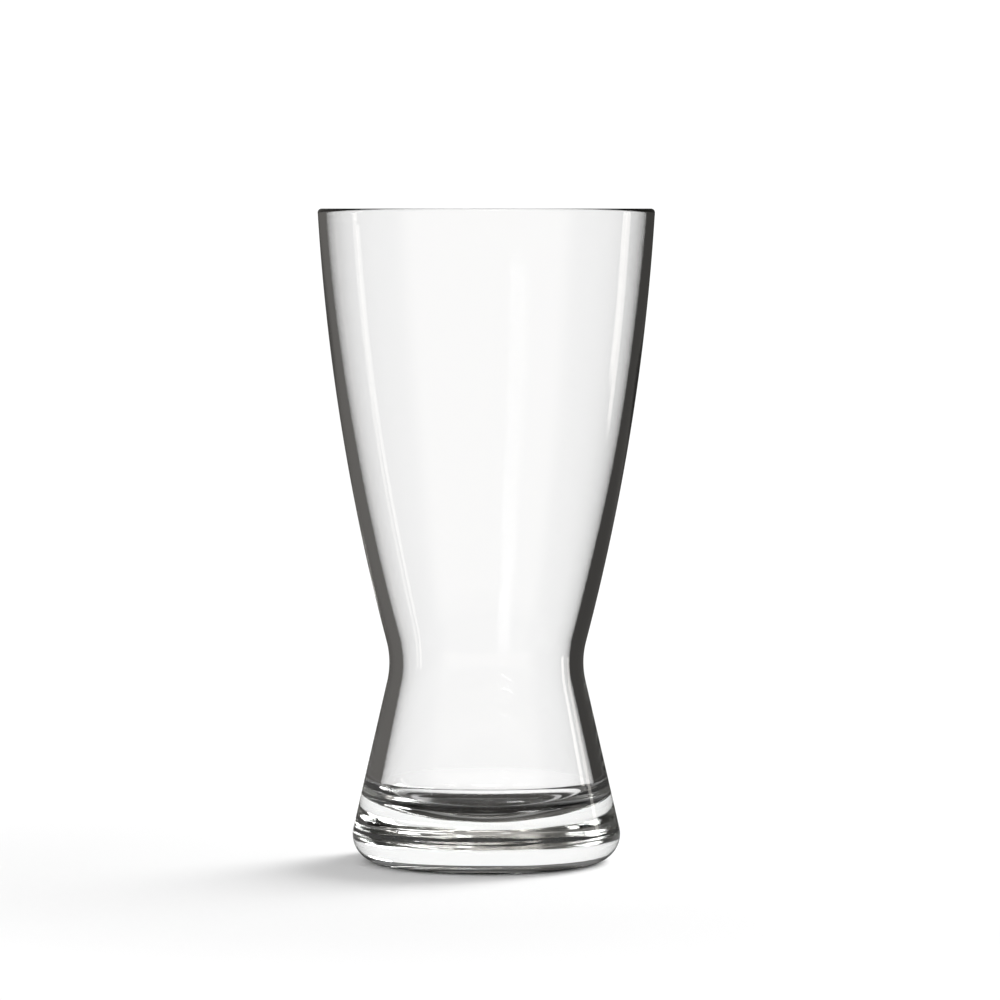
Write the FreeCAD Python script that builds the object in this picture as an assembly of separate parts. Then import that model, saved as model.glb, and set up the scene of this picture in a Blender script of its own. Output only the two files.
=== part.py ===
import FreeCAD, Part
import math
import os

# Heavy-based bar mixing glass, formed in one piece from clear soda-lime glass.
# Millimetres, +Z up. The origin is the middle of the ring that the glass stands on.
# The glass is a body of revolution: every size below acts on one half section in the XZ plane,
# where a point is a radius and a height. All its arcs and lines meet in tangents.

# ---- overall ----------------------------------------------------------------------
HEIGHT = 171.0             # table level to the top of the lip
RIM_DIAMETER = 88.0        # widest, outside the lip
WAIST_DIAMETER = 50.9      # narrowest, outside
WAIST_HEIGHT = 52.3        # level of the narrowest section
BEARING_DIAMETER = 56.0    # outer edge of the flat ring that meets the table

# ---- outside curves ---------------------------------------------------------------
BOWL_RADIUS = 583.0        # long barrel curve of the bowl, the same on both faces of its wall
WAIST_ROUND = 21.9         # hollow round at the waist
FOOT_ROUND = 7.1           # round from the bearing ring into the lower cone

# ---- glass thickness --------------------------------------------------------------
RIM_WALL = 2.1             # at the lip, which is a full round
WAIST_WALL = 3.6           # round the waist
LOWER_WALL = 4.0           # where the lower cone runs into the cavity floor
FLOOR_THICKNESS = 9.4      # on the axis, table level to the cavity floor

# ---- inside curves ----------------------------------------------------------------
FLOOR_ROUND = 6.0          # round from the lower cone into the cavity floor
FLOOR_RADIUS = 58.0        # dish of the cavity floor

# ---- underside --------------------------------------------------------------------
PUSH_UP_DIAMETER = 46.0    # inner edge of the bearing ring, where the push-up starts
PUSH_UP_DEPTH = 1.8        # height of the push-up above the table, on the axis
PUSH_UP_ROUND = 4.0        # round from the bearing ring into the push-up

FULL_TURN = 360.0
CUBIC_MM_PER_ML = 1000.0


def point(radius, height):
    """A point of the half section."""
    return FreeCAD.Vector(radius, 0.0, height)


def at_angle(angle, length):
    """Vector of this length, at this angle above the outward radius."""
    return point(length * math.cos(angle), length * math.sin(angle))


def towards(start, target, distance):
    """The point at this distance from start on the way to target."""
    return start + (target - start).normalize() * distance


def centre_between(first, first_reach, second, second_reach):
    """Centre at one reach from each of two points, on the side nearer the axis."""
    span = (second - first).Length
    along = (span ** 2 + first_reach ** 2 - second_reach ** 2) / (2.0 * span)
    across = math.sqrt(first_reach ** 2 - along ** 2)
    chord = (second - first).normalize()
    square = point(-chord.z, chord.x)
    base = first + chord * along
    return min(base + square * across, base - square * across, key=lambda centre: centre.x)


def cross_tangent_angle(near, near_round, far, far_round):
    """Angle of the normal of the line that has near's circle inside it and far's circle outside."""
    gap = far - near
    return math.atan2(gap.z, gap.x) - math.acos((near_round + far_round) / gap.Length)


def arc(start, centre, end):
    """Edge from start to end along the shorter way round the centre."""
    radius = (start - centre).Length
    through = towards(centre, (start + end) * 0.5, radius)
    return Part.Arc(start, through, end).toShape()


def line(start, end):
    """Straight edge from start to end."""
    return Part.LineSegment(start, end).toShape()


# ---- centres that the outside and the inside share ---------------------------------
LIP_ROUND = RIM_WALL / 2.0
LIP = point(RIM_DIAMETER / 2.0 - LIP_ROUND, HEIGHT - LIP_ROUND)
WAIST = point(WAIST_DIAMETER / 2.0 + WAIST_ROUND, WAIST_HEIGHT)
FOOT = point(BEARING_DIAMETER / 2.0, FOOT_ROUND)
CONE_ANGLE = cross_tangent_angle(FOOT, FOOT_ROUND, WAIST, WAIST_ROUND)


def underside():
    """Push-up, bearing ring and foot round, from the axis out to the lower cone."""
    edge = point(PUSH_UP_DIAMETER / 2.0, PUSH_UP_ROUND)
    chord_radius = (edge.x ** 2 + PUSH_UP_DEPTH ** 2) / (2.0 * PUSH_UP_DEPTH)
    radius = chord_radius - PUSH_UP_ROUND
    centre = point(0.0, PUSH_UP_DEPTH - radius)
    crown = point(0.0, PUSH_UP_DEPTH)
    rise = towards(centre, edge, radius)
    ring_inner = point(edge.x, 0.0)
    ring_outer = point(FOOT.x, 0.0)
    foot_top = FOOT + at_angle(CONE_ANGLE, FOOT_ROUND)
    return [
        arc(crown, centre, rise),
        arc(rise, edge, ring_inner),
        line(ring_inner, ring_outer),
        arc(ring_outer, FOOT, foot_top),
    ]


def outside():
    """Lower cone, waist and bowl, from the foot round up to the lip."""
    bowl = centre_between(WAIST, BOWL_RADIUS + WAIST_ROUND, LIP, BOWL_RADIUS - LIP_ROUND)
    cone_bottom = FOOT + at_angle(CONE_ANGLE, FOOT_ROUND)
    cone_top = WAIST - at_angle(CONE_ANGLE, WAIST_ROUND)
    bowl_bottom = towards(WAIST, bowl, WAIST_ROUND)
    bowl_top = towards(bowl, LIP, BOWL_RADIUS)
    return [
        line(cone_bottom, cone_top),
        arc(cone_top, WAIST, bowl_bottom),
        arc(bowl_bottom, bowl, bowl_top),
    ]


def lip(outer_end, inner_start):
    """Full round over the top of the wall."""
    crown = point(LIP.x, HEIGHT)
    return Part.Arc(outer_end, crown, inner_start).toShape()


def floor_corner(dish):
    """Centre of the floor round, which touches the dish and leaves LOWER_WALL to the lower cone."""
    start = FOOT + at_angle(CONE_ANGLE, FOOT_ROUND - LOWER_WALL - FLOOR_ROUND)
    up = at_angle(CONE_ANGLE + math.pi / 2.0, 1.0)
    reach = FLOOR_RADIUS - FLOOR_ROUND
    gap = start - dish
    level = gap.dot(up)
    return start - up * (level + math.sqrt(level ** 2 - gap.Length ** 2 + reach ** 2))


def inside():
    """Inner face of the bowl, waist and lower cone, then the cavity floor, from the lip to the axis."""
    waist_reach = WAIST_ROUND + WAIST_WALL
    bowl = centre_between(WAIST, BOWL_RADIUS + waist_reach, LIP, BOWL_RADIUS + LIP_ROUND)
    dish = point(0.0, FLOOR_THICKNESS + FLOOR_RADIUS)
    corner = floor_corner(dish)
    angle = cross_tangent_angle(corner, FLOOR_ROUND, WAIST, waist_reach)
    bowl_top = towards(bowl, LIP, BOWL_RADIUS)
    bowl_bottom = towards(bowl, WAIST, BOWL_RADIUS)
    cone_top = WAIST - at_angle(angle, waist_reach)
    cone_bottom = corner + at_angle(angle, FLOOR_ROUND)
    dish_rim = towards(dish, corner, FLOOR_RADIUS)
    floor_middle = point(0.0, FLOOR_THICKNESS)
    return [
        arc(bowl_top, bowl, bowl_bottom),
        arc(bowl_bottom, WAIST, cone_top),
        line(cone_top, cone_bottom),
        arc(cone_bottom, corner, dish_rim),
        arc(dish_rim, dish, floor_middle),
    ]


def revolved(edges):
    """Solid of revolution of a half section that these edges close against the axis."""
    ends = (edges[-1].Vertexes[-1].Point, edges[0].Vertexes[0].Point)
    wire = Part.Wire(edges + [line(*ends)])
    return Part.Face(wire).revolve(point(0.0, 0.0), point(0.0, 1.0), FULL_TURN)


def glass_body():
    """The whole glass, one piece from the bearing ring to the lip."""
    outer = underside() + outside()
    inner = inside()
    rim = lip(outer[-1].Vertexes[-1].Point, inner[0].Vertexes[0].Point)
    return revolved(outer + [rim] + inner)


def brimful():
    """The liquid that fills the glass to the top of its inner face."""
    inner = inside()
    surface_edge = inner[0].Vertexes[0].Point
    surface = line(point(0.0, surface_edge.z), surface_edge)
    return revolved([surface] + inner)


os.makedirs("parts", exist_ok=True)
glass = glass_body()
glass.exportStep("parts/glass_body.step")
print("glass_body: valid", glass.isValid(), "solids", len(glass.Solids))
print("glass volume", round(glass.Volume / CUBIC_MM_PER_ML, 1), "cm3")
print("brimful capacity", round(brimful().Volume / CUBIC_MM_PER_ML, 1), "ml")
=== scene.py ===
"""Mixing glass: one clear, heavy-based, waisted vessel on a pale table, in a bright-field studio set.

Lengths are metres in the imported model's own frame: +Z up, the origin in the middle of the ring that
the glass stands on. The glass is one closed surface of revolution, worked out as a half section of
tangent arcs and lines carried round the axis.
"""

import logging
import math
from dataclasses import dataclass
from enum import Enum
from typing import Sequence

import bpy
import numpy as np
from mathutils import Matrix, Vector


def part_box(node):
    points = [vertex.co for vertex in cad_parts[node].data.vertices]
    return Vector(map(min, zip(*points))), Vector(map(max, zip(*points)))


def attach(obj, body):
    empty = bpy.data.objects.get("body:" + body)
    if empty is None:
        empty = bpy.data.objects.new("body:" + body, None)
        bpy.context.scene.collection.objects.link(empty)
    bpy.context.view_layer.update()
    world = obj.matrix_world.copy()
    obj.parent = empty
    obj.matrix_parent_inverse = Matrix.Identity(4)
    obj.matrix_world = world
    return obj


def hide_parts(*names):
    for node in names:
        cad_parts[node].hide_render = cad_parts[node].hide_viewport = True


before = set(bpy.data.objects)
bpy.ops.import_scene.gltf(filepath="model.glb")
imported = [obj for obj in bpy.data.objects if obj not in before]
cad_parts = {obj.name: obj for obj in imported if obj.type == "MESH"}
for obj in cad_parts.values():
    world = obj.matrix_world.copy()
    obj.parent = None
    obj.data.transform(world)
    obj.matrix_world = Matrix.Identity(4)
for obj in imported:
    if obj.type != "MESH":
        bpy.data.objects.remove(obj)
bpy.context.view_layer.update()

GLASS_NODE = "glass_body"
BODY = "root"
MM = 0.001

Socket = bpy.types.NodeSocket

log = logging.getLogger("mixing_glass")


# ---- half section: curves in the plane of a radius and a height ---------------------------------


def rz(radius: float, height: float) -> np.ndarray:
    """A point of the half section."""
    return np.array([radius, height], dtype=float)


def heading(angle: float) -> np.ndarray:
    """Unit vector at this angle, in radians, above the outward radius."""
    return rz(math.cos(angle), math.sin(angle))


def unit(vector: np.ndarray) -> np.ndarray:
    """The same direction with a length of one."""
    return vector / np.linalg.norm(vector)


def towards(start: np.ndarray, target: np.ndarray, distance: float) -> np.ndarray:
    """The point at this distance from start on the way to target."""
    return start + unit(target - start) * distance


def centre_between(first: np.ndarray, first_reach: float,
                   second: np.ndarray, second_reach: float) -> np.ndarray:
    """Find the centre that lies one reach from each of two points.

    Two circles round the points cross on a line square to their chord. The distance along the
    chord follows from the two reaches, and the crossing nearer the axis is the one wanted.

    Args:
        first: one point.
        first_reach: distance of the centre from it.
        second: the other point.
        second_reach: distance of the centre from that.

    Returns:
        The centre, on the side nearer the axis.
    """
    span = float(np.linalg.norm(second - first))
    along = (span ** 2 + first_reach ** 2 - second_reach ** 2) / (2.0 * span)
    across = math.sqrt(first_reach ** 2 - along ** 2)
    chord = unit(second - first)
    square = rz(-chord[1], chord[0])
    base = first + chord * along
    return min(base + square * across, base - square * across, key=lambda centre: centre[0])


def cross_tangent_angle(near: np.ndarray, near_round: float,
                        far: np.ndarray, far_round: float) -> float:
    """Find the line that passes outside one circle and inside another.

    The normal of such a line makes an angle with the line of centres whose cosine is the sum of
    the radii over the distance between the centres.

    Args:
        near: centre of the circle on the axis side of the line.
        near_round: its radius.
        far: centre of the circle on the outer side.
        far_round: its radius.

    Returns:
        Angle of the outward normal of the line above the outward radius, in radians.
    """
    gap = far - near
    return math.atan2(gap[1], gap[0]) - math.acos((near_round + far_round) / float(np.linalg.norm(gap)))


@dataclass(frozen=True)
class Stretch:
    """One run of the half section: its points and the outward normal of the glass at each."""

    points: np.ndarray
    normals: np.ndarray


def arc(start: np.ndarray, centre: np.ndarray, end: np.ndarray, steps: int,
        hollow: bool = False) -> Stretch:
    """Sample the shorter arc between two points.

    Each point is the centre plus the radius times the heading of an evenly spaced angle.

    Args:
        start: first point.
        centre: centre of the arc.
        end: last point.
        steps: number of intervals.
        hollow: True where the centre is outside the glass, so the normal points to it.

    Returns:
        The sampled stretch.
    """
    radius = float(np.linalg.norm(start - centre))
    first = math.atan2(start[1] - centre[1], start[0] - centre[0])
    last = math.atan2(end[1] - centre[1], end[0] - centre[0])
    sweep = (last - first + math.pi) % (2.0 * math.pi) - math.pi
    angles = first + sweep * np.linspace(0.0, 1.0, steps + 1)
    rays = np.column_stack((np.cos(angles), np.sin(angles)))
    return Stretch(centre + radius * rays, -rays if hollow else rays)


def line(start: np.ndarray, end: np.ndarray, steps: int) -> Stretch:
    """Sample a straight run evenly; the glass is on the left of its direction of travel.

    Args:
        start: first point.
        end: last point.
        steps: number of intervals.

    Returns:
        The sampled stretch.
    """
    share = np.linspace(0.0, 1.0, steps + 1)[:, None]
    direction = unit(end - start)
    normal = rz(direction[1], -direction[0])
    return Stretch(start + (end - start) * share, np.repeat(normal[None, :], steps + 1, axis=0))


def joined(stretches: Sequence[Stretch]) -> Stretch:
    """Join runs end to end, keeping each shared point once.

    Args:
        stretches: the runs, each starting where the last one ends.

    Returns:
        One run over all of them.
    """
    points = [stretches[0].points] + [run.points[1:] for run in stretches[1:]]
    normals = [stretches[0].normals] + [run.normals[1:] for run in stretches[1:]]
    return Stretch(np.vstack(points), np.vstack(normals))


def faded(distance: np.ndarray, over: float) -> np.ndarray:
    """Rise evenly from 0 to 1 while the distance goes from nothing to over."""
    return np.clip(distance / over, 0.0, 1.0)


def band_quads(rings: int, segments: int) -> np.ndarray:
    """Join each ring of points to the next with quads that close up round the axis.

    Point number n of ring m is m times the number of segments, plus n.

    Args:
        rings: number of rings.
        segments: points in each ring.

    Returns:
        Four point numbers for each quad.
    """
    row, column = np.meshgrid(np.arange(rings - 1), np.arange(segments), indexing="ij")
    after = (column + 1) % segments
    first, last = row * segments, (row + 1) * segments
    corners = (first + column, first + after, last + after, last + column)
    return np.stack(corners, axis=-1).reshape(-1, 4)


# ---- the glass ----------------------------------------------------------------------------------

LEAST_RADIUS = 5.0 * MM


@dataclass(frozen=True)
class Ripple:
    """A faint unevenness of moulded glass: waves round the axis that drift with height.

    The height of the surface above its true place is a sum of sine waves, each with a whole number
    of lobes round the axis, its own drift with height and its own phase.
    """

    height: float
    lobes: tuple[int, ...]
    drift: tuple[float, ...]
    seed: int

    def field(self, radius: np.ndarray, height: np.ndarray, angle: np.ndarray) -> tuple[np.ndarray, ...]:
        """Work out the wave and its slopes on a grid.

        Args:
            radius: distance from the axis at each grid point, in metres.
            height: height above the table at each grid point, in metres.
            angle: angle round the axis at each grid point, in radians.

        Returns:
            The wave in metres, its slope along the height and its slope round the axis.
        """
        phases = np.random.default_rng(self.seed).uniform(0.0, 2.0 * math.pi, len(self.lobes))
        share = self.height / len(self.lobes)
        wave, rise, turn = np.zeros_like(height), np.zeros_like(height), np.zeros_like(height)
        for lobes, drift, phase in zip(self.lobes, self.drift, phases):
            inner = lobes * angle + drift * height + phase
            wave += share * np.sin(inner)
            rise += share * drift * np.cos(inner)
            turn += share * lobes * np.cos(inner) / np.maximum(radius, LEAST_RADIUS)
        return wave, rise, turn


INSIDE_RIPPLE = Ripple(height=0.04 * MM, lobes=(3, 5, 8), drift=(30.0, -45.0, 70.0), seed=7)
FOOT_CHILL = Ripple(height=0.008 * MM, lobes=(2, 7, 4, 11),
                    drift=(2300.0, 3600.0, -4700.0, 1500.0), seed=11)


@dataclass
class MixingGlass:
    """The vessel, from its bearing ring to its lip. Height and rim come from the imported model."""

    height: float
    rim_diameter: float
    waist_diameter: float = 50.9 * MM
    waist_height: float = 52.3 * MM
    bearing_diameter: float = 56.0 * MM
    bowl_radius: float = 583.0 * MM
    waist_round: float = 21.9 * MM
    foot_round: float = 7.1 * MM
    rim_wall: float = 2.1 * MM
    waist_wall: float = 3.6 * MM
    lower_wall: float = 4.0 * MM
    floor_thickness: float = 9.4 * MM
    floor_round: float = 6.0 * MM
    floor_radius: float = 58.0 * MM
    push_up_diameter: float = 46.0 * MM
    push_up_depth: float = 1.8 * MM
    push_up_round: float = 4.0 * MM
    segments: int = 288
    ripple: Ripple = INSIDE_RIPPLE
    ripple_below_lip: float = 8.0 * MM
    ripple_off_axis: float = 12.0 * MM
    chill: Ripple = FOOT_CHILL
    chill_start: float = 1.0 * MM
    chill_top: float = 20.0 * MM
    chill_fade: float = 8.0 * MM

    def __post_init__(self) -> None:
        """Work out the centres that the outside and the inside share."""
        self.lip_round = self.rim_wall / 2.0
        self.lip = rz(self.rim_diameter / 2.0 - self.lip_round, self.height - self.lip_round)
        self.waist = rz(self.waist_diameter / 2.0 + self.waist_round, self.waist_height)
        self.foot = rz(self.bearing_diameter / 2.0, self.foot_round)
        self.cone_angle = cross_tangent_angle(self.foot, self.foot_round, self.waist, self.waist_round)

    def underside(self) -> list[Stretch]:
        """Push-up, bearing ring and foot round, from the axis out to the lower cone."""
        edge = rz(self.push_up_diameter / 2.0, self.push_up_round)
        chord_radius = (edge[0] ** 2 + self.push_up_depth ** 2) / (2.0 * self.push_up_depth)
        radius = chord_radius - self.push_up_round
        centre = rz(0.0, self.push_up_depth - radius)
        rise = towards(centre, edge, radius)
        ring_inner, ring_outer = rz(edge[0], 0.0), rz(self.foot[0], 0.0)
        foot_top = self.foot + heading(self.cone_angle) * self.foot_round
        return [
            arc(rz(0.0, self.push_up_depth), centre, rise, 12, hollow=True),
            arc(rise, edge, ring_inner, 6),
            line(ring_inner, ring_outer, 2),
            arc(ring_outer, self.foot, foot_top, 40),
        ]

    def outside(self) -> list[Stretch]:
        """Lower cone, waist and bowl, from the foot round up to the lip."""
        reach = self.bowl_radius + self.waist_round
        bowl = centre_between(self.waist, reach, self.lip, self.bowl_radius - self.lip_round)
        cone_bottom = self.foot + heading(self.cone_angle) * self.foot_round
        cone_top = self.waist - heading(self.cone_angle) * self.waist_round
        bowl_bottom = towards(self.waist, bowl, self.waist_round)
        bowl_top = towards(bowl, self.lip, self.bowl_radius)
        return [
            line(cone_bottom, cone_top, 90),
            arc(cone_top, self.waist, bowl_bottom, 16, hollow=True),
            arc(bowl_bottom, bowl, bowl_top, 32),
        ]

    def lip_over(self, outer_end: np.ndarray, inner_start: np.ndarray) -> list[Stretch]:
        """Full round over the top of the wall, in two quarters that meet at the crown."""
        crown = rz(self.lip[0], self.height)
        return [arc(outer_end, self.lip, crown, 8), arc(crown, self.lip, inner_start, 8)]

    def floor_corner(self, dish: np.ndarray) -> np.ndarray:
        """Find the centre of the round between the floor and the wall.

        It lies on a line parallel to the lower cone, the wall and the round inside it, where that
        line crosses a circle round the dish's centre, which is a quadratic in the way up the line.

        Args:
            dish: centre of the cavity floor's shallow curve.

        Returns:
            The centre of the round.
        """
        depth = self.foot_round - self.lower_wall - self.floor_round
        start = self.foot + heading(self.cone_angle) * depth
        up = heading(self.cone_angle + math.pi / 2.0)
        gap = start - dish
        level = float(gap @ up)
        reach = self.floor_radius - self.floor_round
        return start - up * (level + math.sqrt(level ** 2 - float(gap @ gap) + reach ** 2))

    def inside(self) -> list[Stretch]:
        """Inner face of the bowl, waist and lower cone, then the cavity floor, down to the axis."""
        waist_reach = self.waist_round + self.waist_wall
        bowl = centre_between(self.waist, self.bowl_radius + waist_reach,
                              self.lip, self.bowl_radius + self.lip_round)
        dish = rz(0.0, self.floor_thickness + self.floor_radius)
        corner = self.floor_corner(dish)
        angle = cross_tangent_angle(corner, self.floor_round, self.waist, waist_reach)
        bowl_top = towards(bowl, self.lip, self.bowl_radius)
        bowl_bottom = towards(bowl, self.waist, self.bowl_radius)
        cone_top = self.waist - heading(angle) * waist_reach
        cone_bottom = corner + heading(angle) * self.floor_round
        dish_rim = towards(dish, corner, self.floor_radius)
        return [
            arc(bowl_top, bowl, bowl_bottom, 32, hollow=True),
            arc(bowl_bottom, self.waist, cone_top, 16),
            line(cone_top, cone_bottom, 12),
            arc(cone_bottom, corner, dish_rim, 30, hollow=True),
            arc(dish_rim, dish, rz(0.0, self.floor_thickness), 16, hollow=True),
        ]

    def half_section(self) -> Stretch:
        """The whole closed outline, from the axis under the glass round to the axis on its floor."""
        outer = self.underside() + self.outside()
        inner = self.inside()
        over = self.lip_over(outer[-1].points[-1], inner[0].points[0])
        return joined(outer + over + inner)

    def surface(self) -> tuple[np.ndarray, np.ndarray]:
        """Carry the half section round the axis and lay the waves on it.

        A grid point is (r cos t, r sin t, z). It then moves along its own normal by a wave, and its
        normal leans by the wave's slopes. The ripple is on the inside face, faded in below the lip
        and out at the axis. The chill is on the outside of the foot, faded out at the bearing ring
        and at its top.

        Returns:
            Grid points and grid normals, each of shape (stations, segments, 3).
        """
        section = self.half_section()
        turns = np.linspace(0.0, 2.0 * math.pi, self.segments, endpoint=False)
        radius, turn = np.meshgrid(section.points[:, 0], turns, indexing="ij")
        level = np.repeat(section.points[:, 1:], self.segments, axis=1)
        out = np.stack((np.cos(turn), np.sin(turn), np.zeros_like(turn)), axis=-1)
        round_axis = np.stack((-np.sin(turn), np.cos(turn), np.zeros_like(turn)), axis=-1)
        up = np.array([0.0, 0.0, 1.0])
        normal = section.normals[:, None, :1] * out + section.normals[:, None, 1:] * up
        inner = (np.arange(len(section.points)) > np.argmax(section.points[:, 1]))[:, None]
        place, lean = radius[..., None] * out + level[..., None] * up, normal
        in_bowl = inner * faded(self.height - level, self.ripple_below_lip)
        in_bowl = in_bowl * faded(radius, self.ripple_off_axis)
        on_foot = ~inner * faded(level, self.chill_start)
        on_foot = on_foot * faded(self.chill_top - level, self.chill_fade)
        for marks, fade in ((self.ripple, in_bowl), (self.chill, on_foot)):
            wave, rise, turn_slope = marks.field(radius, level, turn)
            place = place + (fade * wave)[..., None] * normal
            lean = lean - (fade * rise)[..., None] * up - (fade * turn_slope)[..., None] * round_axis
        return place, lean / np.linalg.norm(lean, axis=-1, keepdims=True)

    def build(self) -> bpy.types.Object:
        """Make the closed mesh: quads between stations, and one fan at each pole.

        Returns:
            The glass object, at the origin, with its place in its mesh.
        """
        place, normal = self.surface()
        stations = len(place) - 2
        ring_points = place[1:-1].reshape(-1, 3)
        poles = np.array([place[0, 0], place[-1, 0]])
        vertices = np.vstack((ring_points, poles))
        quads = band_quads(stations, self.segments)
        turn = np.arange(self.segments)
        turn_on = (turn + 1) % self.segments
        under_pole, floor_pole = len(ring_points), len(ring_points) + 1
        top_row = (stations - 1) * self.segments
        under_fan = np.column_stack((np.full_like(turn, under_pole), turn_on, turn))
        floor_fan = np.column_stack((np.full_like(turn, floor_pole), top_row + turn, top_row + turn_on))
        mesh = bpy.data.meshes.new("glass_vessel")
        mesh.from_pydata(vertices.tolist(), [], quads.tolist() + under_fan.tolist() + floor_fan.tolist())
        mesh.polygons.foreach_set("use_smooth", np.ones(len(mesh.polygons), dtype=bool))
        pole_normals = np.array([[0.0, 0.0, -1.0], [0.0, 0.0, 1.0]])
        normals = np.vstack((normal[1:-1].reshape(-1, 3), pole_normals))
        mesh.normals_split_custom_set_from_vertices(normals.tolist())
        mesh.update()
        vessel = bpy.data.objects.new("glass_vessel", mesh)
        bpy.context.scene.collection.objects.link(vessel)
        return vessel


# ---- materials ----------------------------------------------------------------------------------


class Nodes:
    """A short way to lay out one node tree."""

    def __init__(self, tree: bpy.types.NodeTree) -> None:
        """Clear the tree and keep it."""
        self.tree = tree
        tree.nodes.clear()

    def add(self, kind: str, **settings: object) -> bpy.types.Node:
        """Add a node and set its properties.

        Args:
            kind: Blender's type name of the node.
            **settings: properties of the node by name.

        Returns:
            The node.
        """
        node = self.tree.nodes.new(kind)
        for name, value in settings.items():
            setattr(node, name, value)
        return node

    def feed(self, socket: Socket, value: object) -> None:
        """Link a socket to another node's output, or set it to a plain value."""
        if isinstance(value, Socket):
            self.tree.links.new(value, socket)
        else:
            socket.default_value = value

    def maths(self, operation: str, *values: object) -> Socket:
        """One step of arithmetic.

        Args:
            operation: Blender's name of the operation.
            *values: sockets or numbers, in order.

        Returns:
            The result's socket.
        """
        node = self.add("ShaderNodeMath", operation=operation)
        for socket, value in zip(node.inputs, values):
            self.feed(socket, value)
        return node.outputs[0]

    def smooth(self, value: object, start: float, end: float,
               low: float = 0.0, high: float = 1.0) -> Socket:
        """Ease from low to high while the value goes from start to end.

        Args:
            value: socket that drives the step.
            start: value where the step leaves low.
            end: value where the step reaches high.
            low: result before the start.
            high: result after the end.

        Returns:
            The result's socket.
        """
        node = self.add("ShaderNodeMapRange", interpolation_type="SMOOTHSTEP")
        for name, number in (("From Min", start), ("From Max", end), ("To Min", low), ("To Max", high)):
            node.inputs[name].default_value = number
        self.feed(node.inputs["Value"], value)
        return node.outputs["Result"]

    def place(self) -> tuple[Socket, Socket, Socket]:
        """The object's own X, Y and Z coordinates."""
        coordinates = self.add("ShaderNodeTexCoord")
        parts = self.add("ShaderNodeSeparateXYZ")
        self.feed(parts.inputs[0], coordinates.outputs["Object"])
        return parts.outputs[0], parts.outputs[1], parts.outputs[2]


@dataclass(frozen=True)
class ClearGlass:
    """Fire-polished soda-lime glass: clear, faintly grey-green in the thick, scuffed where it stands."""

    refraction: float = 1.52
    tint: tuple[float, float, float] = (0.80, 0.84, 0.80)
    tint_density: float = 2.5
    scuff_top: float = 0.35 * MM
    scuff_roughness: float = 0.3
    scuff_scale: float = 900.0
    scuff_least: float = 0.35
    scuff_most: float = 0.6

    def material(self) -> bpy.types.Material:
        """Build the shader: a glass surface, absorption inside, and wear on the bearing ring.

        Returns:
            The material.
        """
        finish = bpy.data.materials.new("clear_glass")
        finish.use_nodes = True
        nodes = Nodes(finish.node_tree)
        output = nodes.add("ShaderNodeOutputMaterial")
        surface = nodes.add("ShaderNodeBsdfPrincipled")
        surface.inputs["Base Color"].default_value = (1.0, 1.0, 1.0, 1.0)
        surface.inputs["Transmission Weight"].default_value = 1.0
        surface.inputs["IOR"].default_value = self.refraction
        inside = nodes.add("ShaderNodeVolumeAbsorption")
        inside.inputs["Color"].default_value = (*self.tint, 1.0)
        inside.inputs["Density"].default_value = self.tint_density
        nodes.feed(surface.inputs["Roughness"], self.scuffs(nodes))
        nodes.feed(output.inputs["Surface"], surface.outputs[0])
        nodes.feed(output.inputs["Volume"], inside.outputs[0])
        return finish

    def scuffs(self, nodes: Nodes) -> Socket:
        """Roughness of the ring that rubs on the table, in fine specks, and none elsewhere."""
        _, _, level = nodes.place()
        coordinates = nodes.add("ShaderNodeTexCoord")
        specks = nodes.add("ShaderNodeTexNoise")
        specks.inputs["Scale"].default_value = self.scuff_scale
        nodes.feed(specks.inputs["Vector"], coordinates.outputs["Object"])
        low = nodes.smooth(level, 0.0, self.scuff_top, self.scuff_roughness, 0.0)
        worn = nodes.smooth(specks.outputs["Fac"], self.scuff_least, self.scuff_most)
        return nodes.maths("MULTIPLY", low, worn)


# ---- studio set ---------------------------------------------------------------------------------


ONE_BOUNCE = 0.5  # a count of bounces above this is one or more


class Seen(Enum):
    """What a piece of the set is seen by."""

    ALL = "everything"
    CAMERA = "camera and light on the table"
    TABLE = "light on the table"


def staged(obj: bpy.types.Object, seen: Seen) -> bpy.types.Object:
    """Say what sees a piece of the set.

    Args:
        obj: the piece.
        seen: who sees it.

    Returns:
        The same piece.
    """
    obj.visible_camera = seen is not Seen.TABLE
    obj.visible_glossy = seen is Seen.ALL
    obj.visible_transmission = seen is Seen.ALL
    return obj


def ring_mesh(name: str, inner: float, outer: float, segments: int = 96) -> bpy.types.Mesh:
    """A flat ring at table level, facing up: two circles of points joined by quads.

    Args:
        name: name of the mesh.
        inner: inner radius.
        outer: outer radius.
        segments: quads round the ring.

    Returns:
        The mesh.
    """
    turns = np.linspace(0.0, 2.0 * math.pi, segments, endpoint=False)
    circle = np.column_stack((np.cos(turns), np.sin(turns), np.zeros(segments)))
    step = np.arange(segments)
    after = (step + 1) % segments
    quads = np.column_stack((step, segments + step, segments + after, after))
    mesh = bpy.data.meshes.new(name)
    mesh.from_pydata(np.vstack((circle * inner, circle * outer)).tolist(), [], quads.tolist())
    mesh.update()
    return mesh


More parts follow.
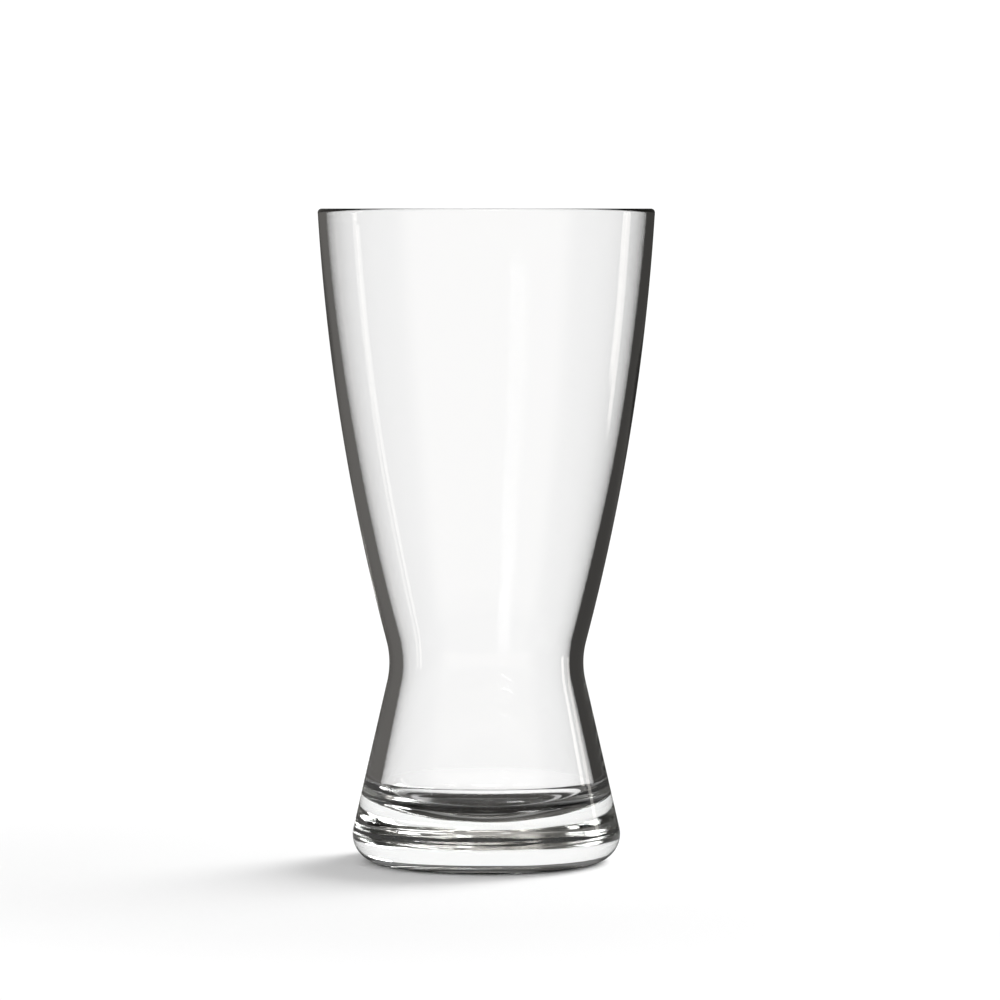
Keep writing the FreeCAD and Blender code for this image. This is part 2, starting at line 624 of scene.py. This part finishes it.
@dataclass(frozen=True)
class Table:
    """Matt white table top that runs into a white background.

    Its paint eases into plain white between near and far. Where the glass mirrors it, the table is
    painted darker, a painted shade in the glass's reflections: only a share of its brightness is left.
    """

    tone: float = 0.86
    roughness: float = 0.85
    specular: float = 0.2
    near: float = 0.10
    far: float = 0.26
    reach: float = 6.0
    refracted_reach: float = 0.14
    mirrored_share: float = 0.2
    white: float = 1.05

    def material(self) -> bpy.types.Material:
        """Matt paint near the glass that eases into plain white further out."""
        finish = bpy.data.materials.new("table_white")
        finish.use_nodes = True
        nodes = Nodes(finish.node_tree)
        output = nodes.add("ShaderNodeOutputMaterial")
        paint = nodes.add("ShaderNodeBsdfPrincipled")
        paint.inputs["Base Color"].default_value = (self.tone, self.tone, self.tone, 1.0)
        paint.inputs["Roughness"].default_value = self.roughness
        paint.inputs["Specular IOR Level"].default_value = self.specular
        glow = nodes.add("ShaderNodeEmission")
        glow.inputs["Strength"].default_value = self.white
        along, across, _ = nodes.place()
        squares = [nodes.maths("MULTIPLY", side, side) for side in (along, across)]
        distance = nodes.maths("SQRT", nodes.maths("ADD", *squares))
        mix = nodes.add("ShaderNodeMixShader")
        nodes.feed(mix.inputs[0], nodes.smooth(distance, self.near, self.far))
        nodes.feed(mix.inputs[1], paint.outputs[0])
        nodes.feed(mix.inputs[2], glow.outputs[0])
        # Painted shade: rays that the glass has mirrored see the table darkened to a share of its
        # brightness, which gives the glass its dark edges.
        shade = nodes.add("ShaderNodeMixShader")
        dark = nodes.add("ShaderNodeEmission")
        dark.inputs["Strength"].default_value = 0.0
        ray = nodes.add("ShaderNodeLightPath")
        turned_back = nodes.maths("GREATER_THAN", ray.outputs["Glossy Depth"], ONE_BOUNCE)
        nodes.feed(shade.inputs[0], nodes.maths("MULTIPLY", turned_back, 1.0 - self.mirrored_share))
        nodes.feed(shade.inputs[1], mix.outputs[0])
        nodes.feed(shade.inputs[2], dark.outputs[0])
        nodes.feed(output.inputs["Surface"], shade.outputs[0])
        return finish

    def build(self) -> list[bpy.types.Object]:
        """Make the disc that the glass refracts and the wide ring that only the camera sees."""
        finish = self.material()
        pieces = []
        for name, inner, outer, seen in (
            ("table_disc", 0.0, self.refracted_reach, Seen.ALL),
            ("table_surround", self.refracted_reach, self.reach, Seen.CAMERA),
        ):
            mesh = ring_mesh(name, inner, outer)
            mesh.materials.append(finish)
            piece = bpy.data.objects.new(name, mesh)
            bpy.context.scene.collection.objects.link(piece)
            pieces.append(staged(piece, seen))
        return pieces


@dataclass(frozen=True)
class FootShadow:
    """Stands in for the glass where light falls on the table, because the glass throws no shadow.

    It is a solid of the foot's own outline, which throws the whole of the shadow. Only light on its
    way to the table meets it; neither the camera nor the glass does.
    """

    height: float = 32.0 * MM
    lift: float = 0.15 * MM

    def build(self, glass: MixingGlass) -> bpy.types.Object:
        """Carry the outside of the foot, up to the height, round the axis as a closed solid.

        Args:
            glass: the vessel whose foot it is.

        Returns:
            The solid.
        """
        outline = joined(glass.underside() + glass.outside()).points
        outline = outline[outline[:, 1] <= self.height]
        outline = outline[outline[:, 0] >= glass.push_up_diameter / 2.0]
        foot = np.vstack((rz(0.0, 0.0), outline, rz(0.0, self.height)))
        foot[:, 1] = np.maximum(foot[:, 1], self.lift)
        turns = np.linspace(0.0, 2.0 * math.pi, glass.segments, endpoint=False)
        across, along = np.outer(foot[:, 0], np.cos(turns)), np.outer(foot[:, 0], np.sin(turns))
        rings = np.stack((across, along, np.repeat(foot[:, 1:], glass.segments, axis=1)), axis=-1)
        quads = band_quads(len(foot), glass.segments)
        mesh = bpy.data.meshes.new("foot_shadow")
        mesh.from_pydata(rings.reshape(-1, 3).tolist(), [], quads.tolist())
        mesh.update()
        solid = bpy.data.objects.new("foot_shadow", mesh)
        bpy.context.scene.collection.objects.link(solid)
        return staged(solid, Seen.TABLE)


@dataclass(frozen=True)
class Panel:
    """A patch of light or dark that the glass mirrors, by the direction in which it stands.

    Bearing is 0 along +Y and positive towards +X; rise is above the level. Both are in degrees,
    and the patch's edges are eased over soft degrees.
    """

    name: str
    bearing: float
    half_width: float
    tone: float
    low: float = -95.0
    high: float = 95.0
    soft: float = 3.0


@dataclass(frozen=True)
class Surround:
    """What the glass mirrors: dark flags on both sides, a strip light, and light from overhead.

    Light that only passes through the glass comes from the white sweep. Light that the glass turns
    back at any of its faces comes from here, whatever stands behind, and gives the glass its dark
    edges. That is an arrangement of the set, not how plain light falls.
    """

    dark: float = 0.015
    colour: tuple[float, float, float] = (1.04, 1.0, 0.95)
    panels: tuple[Panel, ...] = (
        Panel("left_flag", -60.0, 66.0, 0.115, low=-30.0, high=35.0, soft=20.0),
        Panel("right_flag", 60.0, 62.0, 0.045, low=-30.0, high=35.0, soft=20.0),
        Panel("room_by_camera", 180.0, 62.0, 0.45, low=-60.0, high=60.0, soft=20.0),
        Panel("strip_light", 66.0, 2.5, 2.2, low=-12.0, high=60.0, soft=1.5),
        Panel("overhead", 180.0, 35.0, 5.0, low=70.0, high=80.0),
    )

    def tone(self, nodes: Nodes) -> Socket:
        """The tone in each direction: the dark studio's, with each panel laid over it in turn."""
        coordinates = nodes.add("ShaderNodeTexCoord")
        parts = nodes.add("ShaderNodeSeparateXYZ")
        nodes.feed(parts.inputs[0], coordinates.outputs["Generated"])
        along, across, above = parts.outputs
        bearing = nodes.maths("DEGREES", nodes.maths("ARCTAN2", along, across))
        rise = nodes.maths("DEGREES", nodes.maths("ARCSINE", above))
        tone: object = self.dark
        for panel in self.panels:
            mix = nodes.add("ShaderNodeMix", data_type="FLOAT", label=panel.name)
            nodes.feed(mix.inputs[0], self.cover(nodes, panel, bearing, rise))
            nodes.feed(mix.inputs[2], tone)
            mix.inputs[3].default_value = panel.tone
            tone = mix.outputs[0]
        return tone

    @staticmethod
    def cover(nodes: Nodes, panel: Panel, bearing: Socket, rise: Socket) -> Socket:
        """How much of a panel is seen in one direction: 1 inside it, 0 outside, eased between."""
        turn = nodes.maths("FLOORED_MODULO", nodes.maths("ADD", bearing, 180.0 - panel.bearing), 360.0)
        offset = nodes.maths("ABSOLUTE", nodes.maths("SUBTRACT", turn, 180.0))
        half = panel.soft / 2.0
        across = nodes.smooth(offset, panel.half_width - half, panel.half_width + half, 1.0, 0.0)
        over = nodes.smooth(rise, panel.low - half, panel.low + half)
        under = nodes.smooth(rise, panel.high - half, panel.high + half, 1.0, 0.0)
        return nodes.maths("MULTIPLY", across, nodes.maths("MULTIPLY", over, under))


@dataclass(frozen=True)
class SoftBox:
    """A rectangular studio light aimed at the glass, by bearing and rise in degrees."""

    name: str
    bearing: float
    rise: float
    distance: float
    width: float
    height: float
    power: float

    def build(self, aim: Vector) -> bpy.types.Object:
        """Make the light, which falls on the table; the glass doesn't mirror it.

        Args:
            aim: point that the light faces.

        Returns:
            The light.
        """
        bearing, rise = math.radians(self.bearing), math.radians(self.rise)
        level = math.cos(rise)
        towards_light = Vector((math.sin(bearing) * level, math.cos(bearing) * level, math.sin(rise)))
        lamp = bpy.data.lights.new(self.name, "AREA")
        lamp.shape = "RECTANGLE"
        lamp.size, lamp.size_y = self.width, self.height
        lamp.energy = self.power
        light = bpy.data.objects.new(self.name, lamp)
        bpy.context.scene.collection.objects.link(light)
        light.location = aim + towards_light * self.distance
        light.rotation_euler = towards_light.to_track_quat("Z", "Y").to_euler()
        light.visible_glossy = False
        return light


@dataclass(frozen=True)
class Studio:
    """White sweep, flags and softbox, and how the renderer carries light in glass."""

    background: float = 1.08
    through_glass: float = 1.055
    ambient: float = 0.65
    surround: Surround = Surround()
    key: SoftBox = SoftBox("key_softbox", 47.0, 33.0, 1.6, 0.7, 1.4, 31.0)
    bounces: int = 32

    def build(self, aim: Vector) -> None:
        """Set up the world, the light and the renderer's light paths."""
        scene = bpy.context.scene
        world = bpy.data.worlds.new("studio_white")
        scene.world = world
        world.use_nodes = True
        nodes = Nodes(world.node_tree)
        output = nodes.add("ShaderNodeOutputWorld")
        light = nodes.add("ShaderNodeBackground")
        through, mirrored = self.shares(nodes)
        colour = nodes.add("ShaderNodeMix", data_type="RGBA")
        nodes.feed(colour.inputs["Factor"], mirrored)
        colour.inputs[6].default_value = (1.0, 1.0, 1.0, 1.0)
        colour.inputs[7].default_value = (*self.surround.colour, 1.0)
        nodes.feed(light.inputs["Color"], colour.outputs[2])
        nodes.feed(light.inputs["Strength"], self.strength(nodes, through, mirrored))
        nodes.feed(output.inputs["Surface"], light.outputs[0])
        self.key.build(aim)
        scene.view_settings.view_transform = "Standard"
        scene.cycles.max_bounces = self.bounces
        scene.cycles.transmission_bounces = self.bounces
        scene.cycles.glossy_bounces = self.bounces
        scene.cycles.blur_glossy = 0.0

    @staticmethod
    def shares(nodes: Nodes) -> tuple[Socket, Socket]:
        """Tell light that comes through the glass from light that the glass has turned back.

        Args:
            nodes: the world's node tree.

        Returns:
            1 for all light that reaches the camera by way of the glass, and 1 for the part of it
            that the glass mirrored at least once.
        """
        ray = nodes.add("ShaderNodeLightPath")
        from_glass = nodes.maths("MAXIMUM", ray.outputs["Is Glossy Ray"],
                                 ray.outputs["Is Transmission Ray"])
        off_table = nodes.maths("LESS_THAN", ray.outputs["Diffuse Depth"], ONE_BOUNCE)
        through = nodes.maths("MULTIPLY", from_glass, off_table)
        turned_back = nodes.maths("GREATER_THAN", ray.outputs["Glossy Depth"], ONE_BOUNCE)
        return through, nodes.maths("MULTIPLY", through, turned_back)

    def strength(self, nodes: Nodes, through: Socket, mirrored: Socket) -> Socket:
        """Choose the world's strength for each kind of light.

        Args:
            nodes: the world's node tree.
            through: 1 for light that comes by way of the glass.
            mirrored: 1 for light that the glass has turned back.

        Returns:
            The sweep's strength where it is seen, the surround's where it is mirrored, and the
            ambient level for light that falls on the table.
        """
        ray = nodes.add("ShaderNodeLightPath")
        tone: object = self.ambient
        for share, value in (
            (ray.outputs["Is Camera Ray"], self.background),
            (through, self.through_glass),
            (mirrored, self.surround.tone(nodes)),
        ):
            mix = nodes.add("ShaderNodeMix", data_type="FLOAT")
            nodes.feed(mix.inputs[0], share)
            nodes.feed(mix.inputs[2], tone)
            nodes.feed(mix.inputs[3], value)
            tone = mix.outputs[0]
        return tone


@dataclass(frozen=True)
class ProductCamera:
    """A long lens level with the rim, tipped down a little, with the glass just left of centre."""

    distance: float = 1.35
    frame_width: float = 260.89225 * MM
    rim_above_middle: float = 76.05009 * MM
    sideways: float = 3.57 * MM
    sensor: float = 36.0

    def build(self, rim_height: float) -> bpy.types.Object:
        """Make the scene's camera.

        The lens takes in the frame width at the glass's axis, and the tip puts the rim as far above
        the middle of the frame as wanted, both measured at the glass.

        Args:
            rim_height: height of the rim above the table.

        Returns:
            The camera.
        """
        tip = math.asin(self.rim_above_middle / self.distance)
        lens = bpy.data.cameras.new("product_camera")
        lens.sensor_width = self.sensor
        lens.lens = self.distance * math.cos(tip) * self.sensor / self.frame_width
        camera = bpy.data.objects.new("product_camera", lens)
        bpy.context.scene.collection.objects.link(camera)
        camera.location = (self.sideways, -self.distance, rim_height)
        camera.rotation_euler = (math.pi / 2.0 - tip, 0.0, 0.0)
        bpy.context.scene.camera = camera
        bpy.context.view_layer.update()
        return camera


# ---- building -----------------------------------------------------------------------------------


def build_glass(glass: MixingGlass) -> bpy.types.Object:
    """Make the vessel in place of its plain solid and give it its finish.

    Args:
        glass: its sizes.

    Returns:
        The vessel.
    """
    vessel = glass.build()
    vessel.data.materials.append(ClearGlass().material())
    vessel.visible_diffuse = False
    vessel.visible_shadow = False
    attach(vessel, BODY)
    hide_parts(GLASS_NODE)
    log.info("%s: %d faces, %.1f mm tall", vessel.name, len(vessel.data.polygons), glass.height / MM)
    return vessel


def main() -> None:
    """Build the camera, the glass and the set in order."""
    logging.basicConfig(level=logging.INFO, format="%(name)s: %(message)s")
    low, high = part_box(GLASS_NODE)
    middle = (Vector(low) + Vector(high)) / 2.0
    glass = MixingGlass(height=high[2] - low[2], rim_diameter=high[0] - low[0])
    ProductCamera().build(high[2])
    build_glass(glass)
    for piece in Table().build() + [FootShadow().build(glass)]:
        log.info("%s: part of the set", piece.name)
    Studio().build(middle)


if __name__ == "__main__":
    main()
